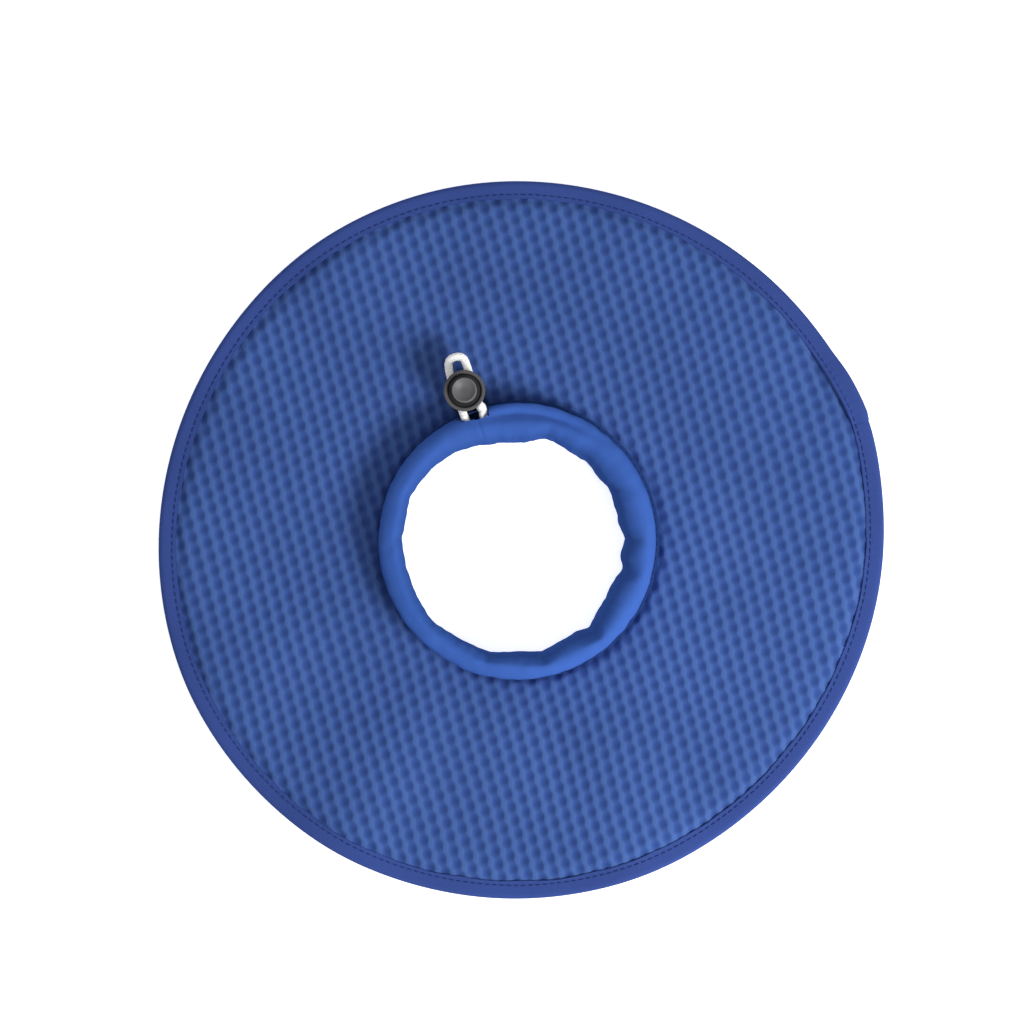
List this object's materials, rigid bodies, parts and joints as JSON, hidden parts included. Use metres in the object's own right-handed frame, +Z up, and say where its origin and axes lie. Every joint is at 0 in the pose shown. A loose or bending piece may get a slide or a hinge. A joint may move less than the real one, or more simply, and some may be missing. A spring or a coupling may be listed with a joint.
{
  "type": "elizabethan collar",
  "caption": "Soft padded disc collar for a recovering pet, with a raised drawstring neck sleeve, a bound rim and a sprung cord toggle.",
  "frame": {"origin": "on the floor under the centre of the neck opening, with the collar lying on its back face", "axes": "+Z up, out of the front face that the neck sleeve stands on; the cord leaves the sleeve 110.4 degrees round from +X"},
  "size_m": [0.28, 0.28, 0.0268],
  "materials": {
    "mesh_fabric": "knitted air mesh",
    "plain_fabric": "plain woven",
    "binding_tape": "plain tape",
    "sewing_thread": "thread",
    "foam": "open foam",
    "elastic_cord": "braided",
    "ferrule_metal": "satin",
    "toggle_plastic": "moulded",
    "button_plastic": "moulded",
    "spring_steel": "drawn wire"
  },
  "bodies": {
    "collar": {"front_panel": "mesh_fabric", "back_panel": "mesh_fabric", "foam_core": "foam", "rim_binding": "binding_tape", "rim_seam_thread": "sewing_thread", "neck_sleeve": "plain_fabric", "neck_seam_thread": "sewing_thread", "cord_exit_stitching": "sewing_thread", "drawcord": "elastic_cord", "cord_join_ferrule": "ferrule_metal"},
    "toggle": {"toggle_barrel": "toggle_plastic"},
    "button": {"toggle_plunger": "button_plastic", "toggle_spring": "spring_steel"}
  },
  "joints": [
    {"name": "toggle_slide", "type": "slide", "parent": "collar", "child": "toggle", "axis": [-0.3484, 0.9367, -0.0349], "range_m": [0, 0.006]},
    {"name": "button_press", "type": "slide", "parent": "toggle", "child": "button", "axis": [0.0122, -0.0327, -0.9994], "range_m": [0, 0.003], "stiffness_N_per_m": 800, "springref_m": -0.003, "deforming": ["toggle_spring"]}
  ]
}
